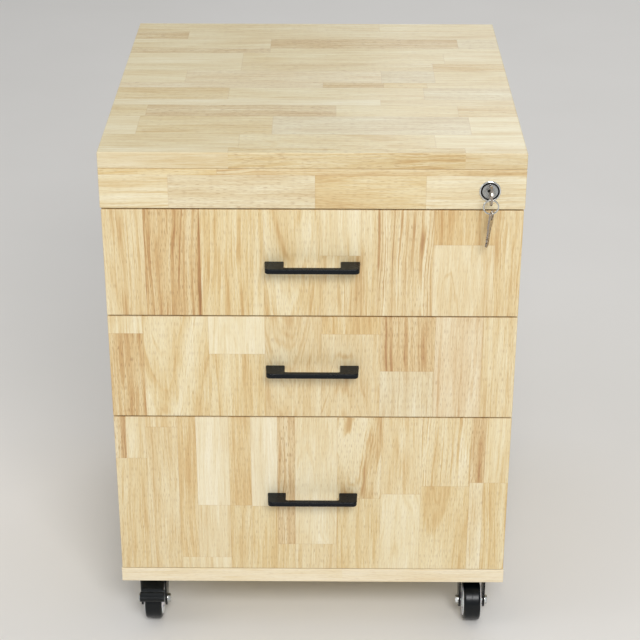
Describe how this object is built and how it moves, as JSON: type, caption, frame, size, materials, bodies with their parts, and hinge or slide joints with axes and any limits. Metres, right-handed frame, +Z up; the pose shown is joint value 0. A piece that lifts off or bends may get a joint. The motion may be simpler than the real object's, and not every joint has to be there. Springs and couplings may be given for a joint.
{
  "type": "rolling pedestal cabinet",
  "caption": "Wooden under-desk pedestal with pull-out drawers on telescopic slides, a central lock and swivel casters.",
  "frame": {"origin": "on the floor, under the centre of the bounding box at rest", "axes": "+Z up, +X to the right seen from the front, +Y to the back; the drawers open towards -Y"},
  "size_m": [0.45, 0.48, 0.607],
  "materials": {
    "rubberwood_top": "clear satin lacquer, pale staves",
    "rubberwood_base": "clear satin lacquer, very pale",
    "rubberwood_side": "clear satin lacquer",
    "rubberwood_front": "clear satin lacquer, upright staves",
    "rubberwood_rail": "clear satin lacquer",
    "back_plywood": "sanded plywood",
    "drawer_box_wood": "sanded, clear lacquer",
    "drawer_plywood": "sanded plywood",
    "beech_dowel": "plain",
    "zinc_screw": "zinc plated",
    "zinc_slide": "zinc plated",
    "black_pull": "black satin powder coat",
    "black_zinc": "black",
    "chrome_trim": "polished",
    "nickel_plug": "satin nickel",
    "nickel_key": "nickel plated",
    "ring_steel": "nickel plated wire",
    "zinc_bar": "zinc plated",
    "black_caster_steel": "black e-coat",
    "zinc_axle": "zinc plated",
    "white_wheel": "moulded white nylon",
    "black_tread": "glossy moulded black",
    "black_lever": "moulded black nylon"
  },
  "bodies": {
    "carcass": {"top_panel": "rubberwood_top", "bottom_panel": "rubberwood_base", "left_side_panel": "rubberwood_side", "right_side_panel": "rubberwood_side", "back_panel": "back_plywood", "front_rail": "rubberwood_rail", "panel_dowels": "beech_dowel", "carcass_screws": "zinc_screw", "slide_cabinet_members": "zinc_slide", "lock_housing": "black_zinc", "lock_trim_ring": "chrome_trim", "lock_bar_guides": "zinc_bar", "caster_plates": "black_caster_steel", "caster_screws": "zinc_screw"},
    "drawer_1": {"drawer_front_1": "rubberwood_front", "drawer_sides_1": "drawer_box_wood", "drawer_ends_1": "drawer_box_wood", "drawer_bottom_1": "drawer_plywood", "pull_1": "black_pull", "drawer_screws_1": "zinc_screw", "slide_drawer_members_1": "zinc_slide"},
    "middle_slide_1": {"slide_middle_1": "zinc_slide"},
    "drawer_2": {"drawer_front_2": "rubberwood_front", "drawer_sides_2": "drawer_box_wood", "drawer_ends_2": "drawer_box_wood", "drawer_bottom_2": "drawer_plywood", "pull_2": "black_pull", "drawer_screws_2": "zinc_screw", "slide_drawer_members_2": "zinc_slide"},
    "middle_slide_2": {"slide_middle_2": "zinc_slide"},
    "drawer_3": {"drawer_front_3": "rubberwood_front", "drawer_sides_3": "drawer_box_wood", "drawer_ends_3": "drawer_box_wood", "drawer_bottom_3": "drawer_plywood", "pull_3": "black_pull", "drawer_screws_3": "zinc_screw", "slide_drawer_members_3": "zinc_slide"},
    "middle_slide_3": {"slide_middle_3": "zinc_slide"},
    "plug": {"lock_plug": "nickel_plug"},
    "key": {"lock_key": "nickel_key"},
    "ring": {"key_ring": "ring_steel"},
    "locking_bar": {"lock_bar": "zinc_bar"},
    "caster_front_left": {"fork_front_left": "black_caster_steel", "axle_front_left": "zinc_axle"},
    "roller_front_left": {"wheel_front_left": "white_wheel", "tyre_front_left": "black_tread"},
    "caster_front_right": {"fork_front_right": "black_caster_steel", "axle_front_right": "zinc_axle"},
    "roller_front_right": {"wheel_front_right": "white_wheel", "tyre_front_right": "black_tread"},
    "caster_rear_left": {"fork_rear_left": "black_caster_steel", "axle_rear_left": "zinc_axle"},
    "roller_rear_left": {"wheel_rear_left": "white_wheel", "tyre_rear_left": "black_tread"},
    "caster_rear_right": {"fork_rear_right": "black_caster_steel", "axle_rear_right": "zinc_axle"},
    "roller_rear_right": {"wheel_rear_right": "white_wheel", "tyre_rear_right": "black_tread"},
    "lever_front_left": {"brake_front_left": "black_lever"},
    "lever_rear_right": {"brake_rear_right": "black_lever"}
  },
  "joints": [
    {"name": "drawer_1_slide", "type": "slide", "parent": "carcass", "child": "drawer_1", "axis": [0, -1, 0], "range_m": [0, 0.4]},
    {"name": "middle_slide_1_travel", "type": "slide", "parent": "carcass", "child": "middle_slide_1", "axis": [0, -1, 0], "range_m": [0, 0.2]},
    {"name": "drawer_2_slide", "type": "slide", "parent": "carcass", "child": "drawer_2", "axis": [0, -1, 0], "range_m": [0, 0.4]},
    {"name": "middle_slide_2_travel", "type": "slide", "parent": "carcass", "child": "middle_slide_2", "axis": [0, -1, 0], "range_m": [0, 0.2]},
    {"name": "drawer_3_slide", "type": "slide", "parent": "carcass", "child": "drawer_3", "axis": [0, -1, 0], "range_m": [0, 0.4]},
    {"name": "middle_slide_3_travel", "type": "slide", "parent": "carcass", "child": "middle_slide_3", "axis": [0, -1, 0], "range_m": [0, 0.2]},
    {"name": "plug_turn", "type": "hinge", "parent": "carcass", "child": "plug", "pos_m": [0.187, -0.215, 0.5654], "axis": [0, 1, 0], "range_deg": [0, 90]},
    {"name": "locking_bar_travel", "type": "slide", "parent": "carcass", "child": "locking_bar", "axis": [0, 0, -1], "range_m": [0, 0.0085]},
    {"name": "key_pull", "type": "slide", "parent": "plug", "child": "key", "axis": [0, -1, 0], "range_m": [0, 0.022]},
    {"name": "ring_hang", "type": "hinge", "parent": "key", "child": "ring", "pos_m": [0.187, -0.2335, 0.5587], "axis": [0, 1, 0], "range_deg": [-90, 0]},
    {"name": "swivel_front_left", "type": "hinge", "parent": "carcass", "child": "caster_front_left", "pos_m": [-0.1905, -0.17, 0.061], "axis": [0, 0, 1], "continuous": true},
    {"name": "wheel_front_left_roll", "type": "hinge", "parent": "caster_front_left", "child": "roller_front_left", "pos_m": [-0.1905, -0.19, 0.024], "axis": [1, 0, 0], "continuous": true},
    {"name": "brake_front_left_press", "type": "hinge", "parent": "caster_front_left", "child": "lever_front_left", "pos_m": [-0.1905, -0.1915, 0.0573], "axis": [1, 0, 0], "range_deg": [0, 12]},
    {"name": "swivel_front_right", "type": "hinge", "parent": "carcass", "child": "caster_front_right", "pos_m": [0.1905, -0.17, 0.061], "axis": [0, 0, 1], "continuous": true},
    {"name": "wheel_front_right_roll", "type": "hinge", "parent": "caster_front_right", "child": "roller_front_right", "pos_m": [0.1905, -0.19, 0.024], "axis": [1, 0, 0], "continuous": true},
    {"name": "swivel_rear_left", "type": "hinge", "parent": "carcass", "child": "caster_rear_left", "pos_m": [-0.1905, 0.195, 0.061], "axis": [0, 0, 1], "continuous": true},
    {"name": "wheel_rear_left_roll", "type": "hinge", "parent": "caster_rear_left", "child": "roller_rear_left", "pos_m": [-0.1905, 0.175, 0.024], "axis": [1, 0, 0], "continuous": true},
    {"name": "swivel_rear_right", "type": "hinge", "parent": "carcass", "child": "caster_rear_right", "pos_m": [0.1905, 0.195, 0.061], "axis": [0, 0, 1], "continuous": true},
    {"name": "wheel_rear_right_roll", "type": "hinge", "parent": "caster_rear_right", "child": "roller_rear_right", "pos_m": [0.1905, 0.175, 0.024], "axis": [1, 0, 0], "continuous": true},
    {"name": "brake_rear_right_press", "type": "hinge", "parent": "caster_rear_right", "child": "lever_rear_right", "pos_m": [0.1905, 0.1735, 0.0573], "axis": [1, 0, 0], "range_deg": [0, 12]}
  ],
  "couplings": [
    {"joint": "middle_slide_1_travel", "follows": "drawer_1_slide", "ratio": 0.5},
    {"joint": "middle_slide_2_travel", "follows": "drawer_2_slide", "ratio": 0.5},
    {"joint": "middle_slide_3_travel", "follows": "drawer_3_slide", "ratio": 0.5},
    {"joint": "plug_turn", "follows": "locking_bar_travel", "rad_per_m": 184.8},
    {"joint": "ring_hang", "follows": "locking_bar_travel", "rad_per_m": -184.8}
  ]
}
